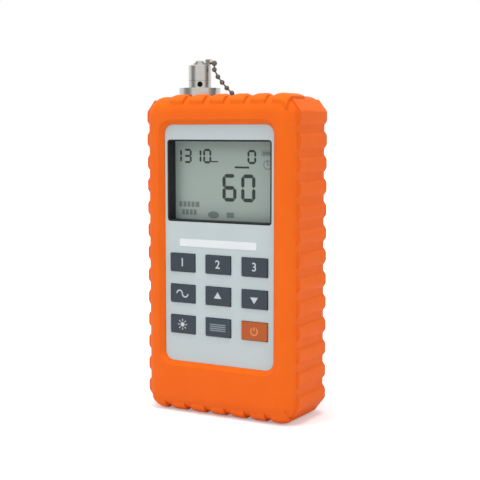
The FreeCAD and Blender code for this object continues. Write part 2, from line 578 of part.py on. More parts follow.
# the chain's course from the lug to its screw: how far along, and how high over the housing, in shares
chain_course = [(0.0, 1.0), (0.0, 0.835), (0.055, 0.648), (0.122, 0.5), (0.195, 0.352), (0.274, 0.22), (0.356, 0.1),
                (0.456, 0.012), (0.562, 0.0), (0.666, 0.0), (0.769, 0.0), (0.866, 0.0)]


def bar(flats, radius, near, far, ease=0):
    # a bar with flats from one point to another; ease chamfers its two ends, which makes it a bead
    corners = [FreeCAD.Vector(radius, 0, 0)]
    for number in range(1, flats + 1):
        corners.append(FreeCAD.Rotation(FreeCAD.Vector(0, 0, 1), 360 * number / flats).multVec(corners[0]))
    length = (far - near).Length
    solid = Part.Face(Part.makePolygon(corners)).extrude(FreeCAD.Vector(0, 0, length))
    if ease:
        ends = [edge for edge in solid.Edges if abs(abs(edge.CenterOfMass.z - length / 2) - length / 2) < 1e-6]
        solid = solid.makeChamfer(ease, ends)
    solid.Placement = FreeCAD.Placement(near, FreeCAD.Rotation(FreeCAD.Vector(0, 0, 1), far - near))
    return solid


def make_chain():
    # beads of folded sheet on short wire links, from the swivel's lug to an eyelet under a screw
    roof = value("boot_tall") - value("rib_rise") - value("boot_wall") - value("boot_gap")
    port_top = roof + sum(value(name) for name in ("hub_tall", "flange_thick", "collar_tall", "cap_seat", "cap_tall"))
    half = value("bead_dia") / 2
    start = FreeCAD.Vector(value("port_across") + value("tag_reach") + value("link_free") + half, 0,
                           port_top + value("lug_tall") / 4)
    end = FreeCAD.Vector(value("anchor_across"), value("anchor_back"), roof + half)
    spots = []
    for along, high in chain_course:
        level = end.z + 0.05 + (start.z - end.z - 0.05) * high
        spots.append(FreeCAD.Vector(start.x + (end.x - start.x) * along, (end.y - start.y) * along, level))
    finish = FreeCAD.Vector(end.x - value("eyelet_dia") / 2, end.y, roof + value("eyelet_thick") / 2)
    solids = []
    for number, spot in enumerate(spots):
        # the first bead is a little larger
        size = half * (1.12 if number == 0 else 1.0)
        along = ((spots + [finish])[number + 1] - spot).normalize() * size
        solids.append(bar(int(value("bead_flats")), size, spot - along, spot + along, ease=0.45 * size))
    lead = FreeCAD.Vector(spots[0].x - half - value("link_free") / 2, 0, spots[0].z)
    for near, far in zip([lead] + spots, spots + [finish]):
        solids.append(bar(int(value("link_flats")), value("link_dia") / 2, near, far))
    eye = Part.makeCylinder(value("eyelet_dia") / 2, value("eyelet_thick"), FreeCAD.Vector(end.x, end.y, roof))
    hole = value("anchor_dia") / 2 + 0.2
    solids.append(eye.cut(Part.makeCylinder(hole, 3, FreeCAD.Vector(end.x, end.y, roof - 1))))
    chain = doc.addObject("Part::Feature", "bead_chain")
    chain.Label = "bead_chain"
    chain.Shape = solids[0].multiFuse(solids[1:])
    chain.Placement = FreeCAD.Placement()

    screw = new_body("chain_screw", "anchor_across", "anchor_back", f"{housing_top} + eyelet_thick")
    head, shank = "anchor_head_dia / 2", "anchor_dia / 2"
    turned(screw, [("0", "1 - anchor_deep"), (shank, "1 - anchor_deep"), (shank, "0"), (head, "0"),
                   (head, "anchor_head_tall / 2"), (f"0.7 * {head}", "anchor_head_tall"), ("0", "anchor_head_tall")])
    return [chain, screw]


def make_power():
    # two cells side by side, plus ends turned opposite ways, between contact plates and springs
    back = f"({front_face} - door_set - door_thick - 0.1 - cell_dia / 2)"
    foot = "(door_foot + door_ledge)"
    cells = new_body("battery_cells", back=back, up=foot)
    for way, turned_over in (("-", False), ("", True)):
        low = "contact_thick + spring_long" if turned_over else "contact_thick + nipple_tall"
        disc = new_sketch(cells, "XY_Plane", across=f"{way}cell_pitch / 2", out=low)
        pad(cells, circle(disc, "cell_dia"), "cell_long")
        nipple_low = f"{low} + cell_long" if turned_over else "contact_thick"
        disc = new_sketch(cells, "XY_Plane", across=f"{way}cell_pitch / 2", out=nipple_low)
        pad(cells, circle(disc, "nipple_dia"), "nipple_tall")
    contacts = new_body("battery_contacts", back=back, up=foot)
    inner = "(door_tall - 2 * door_ledge)"
    low = new_sketch(contacts, "XY_Plane")
    pad(contacts, rectangle(low, "cell_pitch + spring_wide", "spring_wide"), "contact_thick")
    for way in ("-", ""):
        high = new_sketch(contacts, "XY_Plane", across=f"{way}cell_pitch / 2", out=f"{inner} - contact_thick")
        pad(contacts, rectangle(high, "spring_wide", "spring_wide"), "contact_thick")
    # a folded leaf presses on the flat end of each cell
    leaves = new_sketch(contacts, "XZ_Plane")
    half, thick = "spring_wide / 2", "contact_thick"
    for centre, base, way in (("-cell_pitch / 2", f"({inner} - {thick})", "-"), ("cell_pitch / 2", thick, "")):
        tip = f"{way}(spring_long)"
        polygon(leaves, [(f"{centre} - {half}", base), (f"{centre} - {half} + 1.2", base),
                         (f"{centre} + {half}", f"{base} + {way}(spring_long - {thick})"),
                         (f"{centre} + {half}", f"{base} + {tip}"),
                         (f"{centre} + {half} - 1.2", f"{base} + {tip}")])
    pad(contacts, leaves, "spring_wide - 1", both=True)
    return [cells, contacts]


def make_door():
    # its origin is on its lower outer edge, the line it turns on
    spot = dict(back=f"{front_face} - door_set", up="door_foot")
    door = new_body("battery_door", **spot)
    panel = rectangle(new_sketch(door, "XZ_Plane"), "door_wide", "door_tall", up="door_tall / 2")
    pad(door, panel, "door_thick")
    dress(door, "Fillet", "door_round", lambda edge: runs_along(edge, 1) and edge.CenterOfMass.z > 1)
    for out, length, low in (("door_thick - 0.1", "shell_wall - door_thick + 0.2 + tab_thick / 2", "door_ledge + 0.4"),
                             ("shell_wall - door_set + 0.3", "tab_thick", "-tab_reach")):
        high = "(door_ledge + 0.4 + tab_root)"
        tab = new_sketch(door, "XZ_Plane", out=out)
        rectangle(tab, "tab_wide", f"{high} - ({low})", up=f"({high} + ({low})) / 2")
        pad(door, tab, length)
    bars = new_sketch(door, "XZ_Plane")
    for number in range(3):
        rectangle(bars, "grip_wide", "grip_bar", up=f"door_tall - grip_down - {number} * grip_pitch")
    pad(door, bars, "grip_rise", backward=True)
    spot_up = "door_tall - door_screw_down"
    hole = new_sketch(door, "XZ_Plane", out="2 * door_thick")
    pocket(door, circle(hole, "door_screw_dia + 0.3", up=spot_up), "3 * door_thick")
    seat = new_sketch(door, "XZ_Plane", out="door_screw_head_tall - door_set")
    pocket(door, circle(seat, "door_screw_head + 0.3", up=spot_up), "door_thick")

    screw = new_body("door_screw", **spot)
    head = new_sketch(screw, "XZ_Plane", up=spot_up, out="door_screw_head_tall - door_set")
    pad(screw, circle(head, "door_screw_head"), "door_screw_head_tall", backward=True)
    shank = new_sketch(screw, "XZ_Plane", up=spot_up, out="door_screw_head_tall - door_set")
    pad(screw, circle(shank, "door_screw_dia"), "door_thick - door_screw_head_tall + door_set + door_screw_long")
    return [door, screw]


# building everything
corners = [(across, f"{way}boss_up + boot_tall / 2") for across in ("-boss_out", "boss_out") for way in ("", "-")]
posts = [(across, up) for across in ("-post_out", "post_out") for up in ("post_high", "post_low")]
parts = [
    make_boot(), make_front_shell(), make_rear_shell(), *make_display(), make_mat(), make_board(),
    make_screws("case_screws", corners, f"screw_grip - {front_face}", "screw_head", "screw_head_tall",
                "screw_dia", f"{front_face} - 0.3"),
    make_screws("board_screws", posts, f"{board_face} - board_thick", "board_screw_head", "board_screw_tall",
                "board_screw_dia", "board_thick + board_screw_bite"),
    *make_port(), *make_cap(), *make_chain(), *make_power(), *make_door(),
]
keys = [("key_1", "key_2", "key_3"), ("key_wave", "key_up", "key_down"), ("key_light", "key_list", "key_power")]
for row, names in enumerate(keys, -1):
    for column, name in enumerate(names, -1):
        parts.append(make_key(name, column, row))
doc.recompute()

for item in doc.Objects:
    assert not {"Invalid", "Error"} & set(item.State), item.Label + " failed"
os.makedirs("parts", exist_ok=True)
for part in parts:
    assert not part.Shape.isNull() and part.Shape.isValid(), part.Label + " isn't a valid shape"
    part.Shape.exportStep(f"parts/{part.Label}.step")
    print(part.Label, len(part.Shape.Solids), "solids", round(part.Shape.Volume, 1), "mm3")
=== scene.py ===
import json
import math
import bmesh
import bpy
from mathutils import Matrix, Vector


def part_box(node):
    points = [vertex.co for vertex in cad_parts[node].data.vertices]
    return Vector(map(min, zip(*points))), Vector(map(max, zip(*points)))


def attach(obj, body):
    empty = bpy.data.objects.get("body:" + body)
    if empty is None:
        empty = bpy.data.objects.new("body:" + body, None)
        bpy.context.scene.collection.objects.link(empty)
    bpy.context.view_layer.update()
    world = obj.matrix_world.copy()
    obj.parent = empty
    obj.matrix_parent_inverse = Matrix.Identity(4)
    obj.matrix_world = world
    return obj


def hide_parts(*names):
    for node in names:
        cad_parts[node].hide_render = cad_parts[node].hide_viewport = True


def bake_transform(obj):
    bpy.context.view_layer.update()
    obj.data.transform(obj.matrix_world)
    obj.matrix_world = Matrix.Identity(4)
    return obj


# Optical power meter: finishes, display, key legends, chain, screw heads, light and camera.
# Lengths in the dictionaries are in millimetres unless a note says otherwise.

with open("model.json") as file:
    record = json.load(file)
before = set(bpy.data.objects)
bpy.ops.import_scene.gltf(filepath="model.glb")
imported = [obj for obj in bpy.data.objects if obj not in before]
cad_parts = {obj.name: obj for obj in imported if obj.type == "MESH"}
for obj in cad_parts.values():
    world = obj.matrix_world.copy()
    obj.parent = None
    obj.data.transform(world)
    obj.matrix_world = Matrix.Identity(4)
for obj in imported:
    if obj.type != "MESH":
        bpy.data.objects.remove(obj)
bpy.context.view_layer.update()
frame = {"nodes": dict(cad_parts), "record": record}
nodes = frame["nodes"]
nodeBodies = {node: body for body, held in frame["record"]["behaviour"]["bodies"].items() for node in held}
scene = bpy.context.scene
mm = 0.001


# materials: helpers

def linear(hexColour):
    # shaders take linear values, and the colours here are written in sRGB hex
    parts = [int(hexColour[k:k + 2], 16) / 255 for k in (1, 3, 5)]
    return [p / 12.92 if p <= 0.04045 else ((p + 0.055) / 1.055) ** 2.4 for p in parts] + [1.0]


def addNode(tree, kind, inputs=None, **settings):
    # an input is a plain value or the socket that feeds it
    node = tree.nodes.new("ShaderNode" + kind)
    for name, value in settings.items():
        setattr(node, name, value)
    for name, value in (inputs or {}).items():
        if isinstance(value, bpy.types.NodeSocket):
            tree.links.new(value, node.inputs[name])
        else:
            node.inputs[name].default_value = value
    return node


def startMaterial(name, roughness, metallic=0.0, **sockets):
    # any other socket is given by its name with _ for a space
    material = bpy.data.materials.new(name)
    material.use_nodes = True
    shader = material.node_tree.nodes["Principled BSDF"]
    shader.inputs["Roughness"].default_value = roughness
    shader.inputs["Metallic"].default_value = metallic
    for socket, value in sockets.items():
        shader.inputs[socket.replace("_", " ")].default_value = value
    return material, material.node_tree, shader


def objectPlace(tree, stretch=(1, 1, 1)):
    place = addNode(tree, "TexCoord").outputs["Object"]
    return addNode(tree, "Mapping", {"Vector": place, "Scale": stretch}).outputs["Vector"]


def perMm(size):
    # a texture's scale for features of this size
    return 1 / (size * mm)


def mottled(tree, shader, place, light, dark, size, detail=3.0):
    # a soft change of colour over the surface, from light to dark
    cloud = addNode(tree, "TexNoise", {"Vector": place, "Scale": perMm(size), "Detail": detail})
    mix = addNode(tree, "Mix", {0: cloud.outputs["Fac"], 6: linear(light), 7: linear(dark)}, data_type="RGBA")
    tree.links.new(mix.outputs[2], shader.inputs["Base Color"])
    return mix


def grainBump(tree, shader, place, size, depth, strength=0.5, edge=0.0):
    # edge is the radius, in millimetres, that the mould or the tumbler left on sharp corners
    grain = addNode(tree, "TexNoise", {"Vector": place, "Scale": perMm(size)})
    bump = addNode(tree, "Bump", {"Height": grain.outputs["Fac"], "Distance": depth * mm,
                                  "Strength": strength})
    if edge:
        eased = addNode(tree, "Bevel", {"Radius": edge * mm}, samples=6)
        tree.links.new(eased.outputs["Normal"], bump.inputs["Normal"])
    tree.links.new(bump.outputs["Normal"], shader.inputs["Normal"])
    return bump


def roughnessRange(tree, shader, place, size, low, high):
    # patches that shine a little more than the rest
    cloud = addNode(tree, "TexNoise", {"Vector": place, "Scale": perMm(size), "Detail": 4.0})
    spread = addNode(tree, "MapRange", {"Value": cloud.outputs["Fac"], "To Min": low, "To Max": high})
    tree.links.new(spread.outputs["Result"], shader.inputs["Roughness"])


# materials: one function for each real finish

def siliconeRubber(light, dark):
    # compression-moulded silicone: even colour, satin, with the faint orange peel of a blasted mould
    material, tree, shader = startMaterial("mouldedSiliconeRubber", 0.5, Specular_IOR_Level=0.18)
    place = objectPlace(tree)
    mottled(tree, shader, place, light, dark, 14)
    roughnessRange(tree, shader, place, 9, 0.48, 0.62)
    grainBump(tree, shader, place, 0.7, 0.05, 0.35, 0.9)
    return material


def mouldedAbs(light, dark):
    # injection-moulded ABS with a fine spark-eroded grain: matte, cool grey
    material, tree, shader = startMaterial("mouldedAbs", 0.5, Specular_IOR_Level=0.3)
    place = objectPlace(tree)
    mottled(tree, shader, place, light, dark, 18)
    grainBump(tree, shader, place, 0.45, 0.03, 0.4, 0.3)
    return material


def blackFrameAndPaintedShade(light, dark):
    # the display's inner frame: black plastic, satin, with a fine grain; its near-black colour is partly
    # painted shade for the walls of the deep display recess
    material, tree, shader = startMaterial("blackFrameAndPaintedShade", 0.5, Specular_IOR_Level=0.2)
    place = objectPlace(tree)
    mottled(tree, shader, place, light, dark, 8)
    grainBump(tree, shader, place, 0.4, 0.02, 0.3)
    return material


def acrylicWindow(tint):
    # cast acrylic with a hard coat: clear, almost no tint, a thin even shine with faint wipe marks
    material, tree, shader = startMaterial("castAcrylic", 0.06, IOR=1.49, Alpha=0.05,
                                           Base_Color=linear(tint))
    smear = addNode(tree, "TexNoise", {"Vector": objectPlace(tree), "Scale": perMm(22)})
    spread = addNode(tree, "MapRange", {"Value": smear.outputs["Fac"], "To Min": 0.04, "To Max": 0.09})
    tree.links.new(spread.outputs["Result"], shader.inputs["Roughness"])
    return material


def displayGlass(light, dark):
    # twisted-nematic cell behind its polariser: grey-green film with a very fine grain
    material, tree, shader = startMaterial("polarisedDisplay", 0.35)
    place = objectPlace(tree)
    mottled(tree, shader, place, light, dark, 30, 1.0)
    grainBump(tree, shader, place, 0.3, 0.01, 0.2)
    return material


def keyPlastic(name, light, dark):
    # two-shot moulded key cap: satin, a little smoother in patches
    material, tree, shader = startMaterial(name, 0.42)
    place = objectPlace(tree)
    mottled(tree, shader, place, light, dark, 6)
    roughnessRange(tree, shader, place, 5, 0.36, 0.5)
    grainBump(tree, shader, place, 0.35, 0.02, 0.35, 0.35)
    return material


def printingInk(name, colour, roughness=0.6):
    # screen-printed ink: thin, matte, with a slightly uneven lay
    material, tree, shader = startMaterial(name, roughness, Base_Color=linear(colour))
    grainBump(tree, shader, objectPlace(tree), 0.25, 0.01, 0.3)
    return material


def vinylLabel(light, dark):
    # white vinyl film with a matte laminate
    material, tree, shader = startMaterial("whiteVinylFilm", 0.4)
    place = objectPlace(tree)
    mottled(tree, shader, place, light, dark, 12)
    grainBump(tree, shader, place, 1.2, 0.01, 0.3)
    return material


def turnedMetal(name, light, dark, rings, roughness=0.2):
    # turned on a lathe, bare or plated: the tool's fine rings show as lines across the turning axis
    material, tree, shader = startMaterial(name, roughness, 1.0)
    fine = objectPlace(tree, (0.05, 0.05, 1))
    mottled(tree, shader, fine, light, dark, rings, 2.0)
    roughnessRange(tree, shader, fine, rings, roughness - 0.05, roughness + 0.1)
    grainBump(tree, shader, fine, rings, 0.01, 0.25)
    return material


def bareMetal(name, light, dark, roughness):
    # stamped, rolled or headed metal with a plain, slightly uneven face
    material, tree, shader = startMaterial(name, roughness, 1.0)
    place = objectPlace(tree)
    mottled(tree, shader, place, light, dark, 3)
    roughnessRange(tree, shader, place, 2, roughness - 0.08, roughness + 0.08)
    return material


def solderMask(light, dark):
    # glass-epoxy laminate: green mask, with the copper below as a faint darker grid
    material, tree, shader = startMaterial("greenSolderMask", 0.35)
    place = objectPlace(tree)
    tracks = addNode(tree, "TexBrick", {"Vector": place, "Scale": perMm(4), "Color1": linear(light),
                                        "Color2": linear(light), "Mortar": linear(dark)})
    tree.links.new(tracks.outputs["Color"], shader.inputs["Base Color"])
    return material


def cellJacket(jacket, band, foot, length, bandFrom=0.72):
    # shrink-wrapped steel can: plain graphite film with one pale band at its upper end
    material, tree, shader = startMaterial("shrinkFilm", 0.3)
    place = objectPlace(tree)
    height = addNode(tree, "SeparateXYZ", {"Vector": place}).outputs["Z"]
    ramp = addNode(tree, "MapRange", {"Value": height, "From Min": foot, "From Max": foot + length})
    stripes = addNode(tree, "ValToRGB", {"Fac": ramp.outputs["Result"]})
    stripes.color_ramp.interpolation = "CONSTANT"
    plain, pale = stripes.color_ramp.elements
    plain.color = linear(jacket)
    pale.position = bandFrom
    pale.color = linear(band)
    tree.links.new(stripes.outputs["Color"], shader.inputs["Base Color"])
    grainBump(tree, shader, place, 2, 0.02, 0.2)
    return material


def moulded(name, light, dark, roughness, grain):
    # a plain moulded or fired part, such as a gasket, a diffuser or a ceramic sleeve
    material, tree, shader = startMaterial(name, roughness)
    place = objectPlace(tree)
    mottled(tree, shader, place, light, dark, 5)
    grainBump(tree, shader, place, grain, 0.02, 0.3)
    return material


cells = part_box("battery_cells")
orangeRubber = siliconeRubber("#F26C12", "#EC620E")
greyAbs = mouldedAbs("#C2CED0", "#BAC6C9")
darkKey = keyPlastic("darkKeyPlastic", "#333F49", "#2D3842")
orangeKey = keyPlastic("orangeKeyPlastic", "#B8560F", "#AC4D0C")
brightNickel = turnedMetal("turnedBrightNickel", "#D3D2CC", "#C5C3BB", 0.5)
zincSteel = bareMetal("zincPlatedSteel", "#B4B6B8", "#9EA1A4", 0.32)
blackSilicone = moulded("blackSilicone", "#1B1B1D", "#151517", 0.6, 0.4)
paleInk = printingInk("paleKeyInk", "#C2CBD0")
dimInk = printingInk("dimKeyInk", "#85929B")
keyInk = printingInk("orangeKeyInk", "#E08C55")
segmentInk = printingInk("liquidCrystalSegment", "#303B37", 0.5)
faintInk = printingInk("restingCrystalSegment", "#7B8883", 0.5)
beadMetal = bareMetal("tarnishedBeadMetal", "#8F8279", "#6E5F57", 0.3)
whiteVinyl = vinylLabel("#E6EBED", "#DDE3E6")

finishes = {
    "rubber_boot": orangeRubber, "front_shell": greyAbs, "rear_shell": greyAbs, "battery_door": greyAbs,
    # the frame's near-black colours are partly its own black and partly painted shade in the display recess
    "display_frame": blackFrameAndPaintedShade("#2C2C2E", "#232325"), "display_window": acrylicWindow("#1C201E"),
    "lcd_glass": displayGlass("#B2C2BB", "#A9B9B3"),
    "backlight": moulded("whiteDiffuser", "#EDEDE8", "#E4E4DE", 0.5, 0.6),
    "keypad_mat": blackSilicone, "cap_seal": blackSilicone, "key_power": orangeKey,
    "main_board": solderMask("#1C5A3A", "#17492F"),
    "port_body": brightNickel, "dust_cap": brightNickel, "cap_rivet": brightNickel,
    "swivel_tag": brightNickel, "chain_screw": zincSteel, "door_screw": zincSteel,
    "case_screws": zincSteel, "board_screws": zincSteel,
    "set_screw": bareMetal("blackOxideSteel", "#26262A", "#1A1A1D", 0.5),
    "ferrule_sleeve": moulded("firedZirconia", "#F1F1EC", "#E8E8E1", 0.15, 1.0),
    "port_nut": turnedMetal("turnedBrass", "#C9A75C", "#B89549", 0.6, 0.3),
    "detector_can": turnedMetal("goldPlatedCan", "#D9B871", "#CBA75C", 0.8, 0.25),
    "battery_cells": cellJacket("#34393F", "#C9CDD0", cells[0].z, cells[1].z - cells[0].z),
    "battery_contacts": bareMetal("springSteelStrip", "#C4C4BF", "#ABABA5", 0.3),
    "bead_chain": beadMetal,
}
for name, node in nodes.items():  # the eight keys without a finish of their own are dark
    node.data.materials.clear()
    node.data.materials.append(finishes.get(name, darkKey))
print("materials on", len(nodes), "packed nodes")


# pieces: helpers
# A print lies on a face that looks along -Y, and stands proud of it by its own thickness.

def addObject(name, data):
    thing = bpy.data.objects.new(name, data)
    scene.collection.objects.link(thing)
    return thing


def addMesh(name, bm, material=None):
    mesh = bpy.data.meshes.new(name)
    bm.to_mesh(mesh)
    bm.free()
    if material:
        mesh.materials.append(material)
    return addObject(name, mesh)


def finishPiece(name, bm, material, body, smooth=False):
    # without a body, the piece is not attached to any body here
    bmesh.ops.recalc_face_normals(bm, faces=bm.faces)
    piece = addMesh(name, bm, material)
    if smooth:
        piece.data.shade_smooth()
    else:
        piece.data.shade_flat()
    if body:
        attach(piece, body)
    return piece


def facing(across, up, face, turn=0.0):
    # from a flat drawing to its place on the front: drawn x goes to +X, drawn y to +Z, its upper side to -Y
    # across and up are in millimetres, face is the plane's y as the frame gives it
    return (Matrix.Translation((across * mm, face, up * mm)) @ Matrix.Rotation(math.radians(90), 4, "X")
            @ Matrix.Rotation(math.radians(turn), 4, "Z"))


def facesOf(verts):
    return list({face for vert in verts for face in vert.link_faces})


def raiseFlat(bm, verts, thick, place):
    # gives a flat shape its thickness and puts it in place
    grown = bmesh.ops.extrude_face_region(bm, geom=facesOf(verts), use_keep_orig=True)["geom"]
    top = [item for item in grown if isinstance(item, bmesh.types.BMVert)]
    bmesh.ops.translate(bm, verts=top, vec=(0, 0, thick * mm))
    bmesh.ops.transform(bm, matrix=place, verts=verts + top)


def addDisc(bm, sides, wide, tall, thick, place):
    # an ellipse, or a triangle where it has three sides
    verts = bmesh.ops.create_circle(bm, cap_ends=True, segments=sides, radius=mm / 2)["verts"]
    bmesh.ops.scale(bm, verts=verts, vec=(wide, tall, 1))
    raiseFlat(bm, verts, thick, place)


def addBar(bm, wide, tall, thick, place):
    verts = bmesh.ops.create_grid(bm, x_segments=1, y_segments=1, size=mm / 2)["verts"]
    bmesh.ops.scale(bm, verts=verts, vec=(wide, tall, 1))
    raiseFlat(bm, verts, thick, place)


def addSegment(bm, long, stroke, thick, place):
    # one bar of a numeral, with pointed ends: a flat hexagon drawn out along x
    verts = bmesh.ops.create_circle(bm, cap_ends=True, segments=6, radius=mm / 2,
                                    matrix=Matrix.Rotation(math.radians(90), 4, "Z"))["verts"]
    for vert in verts:
        atTip = abs(vert.co.y) < 0.1 * mm
        x = long / 2 if atTip else (long - stroke) / 2
        y = 0 if atTip else math.copysign(stroke / 2, vert.co.y)
        vert.co = (math.copysign(x, vert.co.x) * mm, y * mm, 0)
    raiseFlat(bm, verts, thick, place)


def addArc(bm, radius, stroke, start, sweep, thick, place, steps=24):
    # part of a ring, from a start angle over a sweep, both in degrees
    verts = bmesh.ops.create_grid(bm, x_segments=1, y_segments=1, size=mm / 2)["verts"]
    bmesh.ops.transform(bm, verts=verts, matrix=(
        Matrix.Rotation(math.radians(start), 4, "Z") @ Matrix.Translation((radius * mm, 0, thick / 2 * mm))
        @ Matrix.Rotation(math.radians(90), 4, "X") @ Matrix.Diagonal((stroke, thick, 1, 1))))
    section = facesOf(verts)
    closed = abs(sweep) >= 360
    before = set(bm.verts) - set(verts)
    geom = section + list({edge for face in section for edge in face.edges}) + verts
    bmesh.ops.spin(bm, geom=geom, cent=(0, 0, 0), axis=(0, 0, 1), dvec=(0, 0, 0), angle=math.radians(sweep),
                   steps=steps, use_merge=closed, use_duplicate=False)
    bmesh.ops.transform(bm, matrix=place, verts=[vert for vert in bm.verts if vert not in before])


def addNumeral(bm, digit, wide, tall, stroke, thick, across, up, face):
    # a numeral of seven bars, lettered clockwise from the top with g in the middle
    lit = {"0": "abcdef", "1": "bc", "3": "abgcd", "6": "afgedc"}[digit]
    half, edge = (tall - stroke) / 2, (wide - stroke) / 2
    gap = 0.12 * stroke  # left open between two bars
    level = {"a": (0, half), "g": (0, 0), "d": (0, -half)}
    uprights = {"f": (-edge, half / 2), "b": (edge, half / 2),
                "e": (-edge, -half / 2), "c": (edge, -half / 2)}
    for bar in lit:
        if bar in level:
            x, y = level[bar]
            addSegment(bm, wide - stroke - gap, stroke, thick, facing(across + x, up + y, face))
        else:
            x, y = uprights[bar]
            addSegment(bm, half - gap, stroke, thick, facing(across + x, up + y, face, 90))


# display

displayMarks = {  # each mark in round brackets starts with its place, across and up, and then its size
    "thick": 0.03,
    "small": {"wide": 4.5, "tall": 6.9, "stroke": 1.05, "across": -26.1, "up": 123.75, "pitch": 5.5,
              "digits": "1310"},
    "memory": {"wide": 4.7, "tall": 6.6, "stroke": 1.1, "across": 14.7, "up": 123.6, "digits": "0"},
    "large": {"wide": 7.6, "tall": 13.0, "stroke": 1.75, "across": 2.6, "up": 109.0, "pitch": 10.2,
              "digits": "60"},
    "unitBars": [(-5.6, 121.2, 3.9, 0.6), (9.4, 118.7, 7.8, 0.9)],
    "battery": {"across": 22.5, "up": 125.4, "wide": 5.0, "tall": 2.2, "line": 0.28,
                "barWide": 1.25, "barTall": 1.32, "barPitch": 1.4,
                "noseWide": 0.5, "noseTall": 0.99, "noseOut": 0.35},
    "dial": {"across": 23.0, "up": 120.05, "radius": 2.0, "ring": 0.42, "hand": 0.4, "reach": 1.6},
    "blocks": [(-24.6, 100.6, 1.7), (-22.3, 100.6, 1.7), (-20.0, 100.6, 1.7), (-17.7, 100.6, 1.7),
               (-15.2, 100.6, 2.2), (-23.1, 96.8, 1.5), (-21.0, 96.8, 1.7), (-18.7, 96.8, 1.7),
               (-16.5, 96.8, 1.6)],
    "blockTall": 2.6,
    "oval": (-6.2, 95.9, 6.2, 3.4), "ovalSides": 28,
    "tile": (3.1, 96.1, 4.0, 2.5),
}


def buildDisplayMarks():
    bm = bmesh.new()
    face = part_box("lcd_glass")[0].y
    thick = displayMarks["thick"]
    for group in ("small", "large", "memory"):
        row = displayMarks[group]
        for number, digit in enumerate(row["digits"]):
            across = row["across"] + number * row.get("pitch", 0)
            addNumeral(bm, digit, row["wide"], row["tall"], row["stroke"], thick, across, row["up"], face)
    for across, up, wide, tall in displayMarks["unitBars"]:
        addBar(bm, wide, tall, thick, facing(across, up, face))
    finishPiece("displayMarks", bm, segmentInk, "meter")


def addBatterySign(bm, thick, face):
    # a frame with a nose at its right and three bars inside
    sign = displayMarks["battery"]
    across, up, wide, tall, line = (sign[key] for key in ("across", "up", "wide", "tall", "line"))
    for level in (-1, 0, 1):
        addBar(bm, sign["barWide"], sign["barTall"], thick,
               facing(across + level * sign["barPitch"], up, face))
    for side in (-1, 1):
        addBar(bm, wide, line, thick, facing(across, up + side * tall / 2, face))
        addBar(bm, line, tall, thick, facing(across + side * wide / 2, up, face))
    addBar(bm, sign["noseWide"], sign["noseTall"], thick,
           facing(across + wide / 2 + sign["noseOut"], up, face))


def addDialSign(bm, thick, face):
    # a ring with one hand up and a shorter one to the right
    sign = displayMarks["dial"]
    across, up, radius, hand, reach = (sign[key] for key in ("across", "up", "radius", "hand", "reach"))
    addArc(bm, radius, sign["ring"], 0, 360, thick, facing(across, up, face))
    addBar(bm, hand, radius, thick, facing(across, up + radius / 2, face))
    addBar(bm, reach, hand, thick, facing(across + reach / 2, up, face))


def buildDisplaySymbols():
    # battery, dial, oval and small blocks, weaker than the numerals
    bm = bmesh.new()
    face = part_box("lcd_glass")[0].y
    thick = displayMarks["thick"]
    addBatterySign(bm, thick, face)
    addDialSign(bm, thick, face)
    for across, up, wide in displayMarks["blocks"]:
        addBar(bm, wide, displayMarks["blockTall"], thick, facing(across, up, face))
    across, up, wide, tall = displayMarks["oval"]
    addDisc(bm, displayMarks["ovalSides"], wide, tall, thick, facing(across, up, face))
    across, up, wide, tall = displayMarks["tile"]
    addBar(bm, wide, tall, thick, facing(across, up, face))
    finishPiece("displaySymbols", bm, faintInk, "meter")


# key legends and label

legend = {
    "thick": 0.05, "stroke": 0.62, "numeralSize": 5.6, "numeralBold": 0.06,
    "arrowWide": 4.8, "arrowShare": 0.85, "waveRadius": 1.55, "waveSteps": 14,
    "sunDisc": 2.2, "sunSides": 20, "rays": 8, "rayLong": 1.0, "rayWide": 0.42, "rayOut": 2.15,
    "listWide": 8.6, "listTall": 0.5, "listPitch": 0.95, "listRows": 4,
    "ringRadius": 1.75, "ringStart": 125, "ringSweep": 290,  # angles in degrees
    "barRise": 0.62,  # where the power bar's middle is, as a share of the radius
}


def keyCentre(name):
    # across, up and face, as facing takes them
    low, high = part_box(name)
    return (low.x + high.x) / 2 / mm, (low.z + high.z) / 2 / mm, low.y


def buildLegend(name, ink, draw):
    # it moves with its key
    bm = bmesh.new()
    across, up, face = keyCentre(name)
    draw(bm, across, up, face)
    finishPiece(name + "_legend", bm, ink, name + "_cap")


def drawNumeral(digit):
    # the plain numeral of Blender's own font, laid flat on the key
    def draw(bm, across, up, face):
        text = bpy.data.curves.new("numeral", "FONT")
        text.body, text.size = digit, legend["numeralSize"] * mm
        text.align_x, text.align_y = "CENTER", "CENTER"
        text.extrude, text.offset = legend["thick"] / 2 * mm, legend["numeralBold"] * mm
        holder = bpy.data.objects.new("numeral", text)
        bm.from_mesh(bpy.data.meshes.new_from_object(holder))
        bmesh.ops.remove_doubles(bm, verts=bm.verts, dist=1e-7)
        bmesh.ops.transform(bm, matrix=facing(across, up, face), verts=bm.verts)
        bpy.data.objects.remove(holder)
    return draw


def drawArrow(turn):
    # points up, or down when turned half round
    def draw(bm, across, up, face):
        addDisc(bm, 3, legend["arrowWide"], legend["arrowWide"] * legend["arrowShare"], legend["thick"],
                facing(across, up, face, turn))
    return draw


def drawWave(bm, across, up, face):
    radius = legend["waveRadius"]
    for start, side in ((0, -1), (180, 1)):
        addArc(bm, radius, legend["stroke"], start, 180, legend["thick"],
               facing(across + side * radius, up, face), legend["waveSteps"])


def drawSun(bm, across, up, face):
    disc, out = legend["sunDisc"], legend["rayOut"]
    addDisc(bm, legend["sunSides"], disc, disc, legend["thick"], facing(across, up, face))
    for number in range(legend["rays"]):
        turn = 360 / legend["rays"] * number
        way = math.radians(turn)
        addBar(bm, legend["rayLong"], legend["rayWide"], legend["thick"],
               facing(across + out * math.cos(way), up + out * math.sin(way), face, turn))


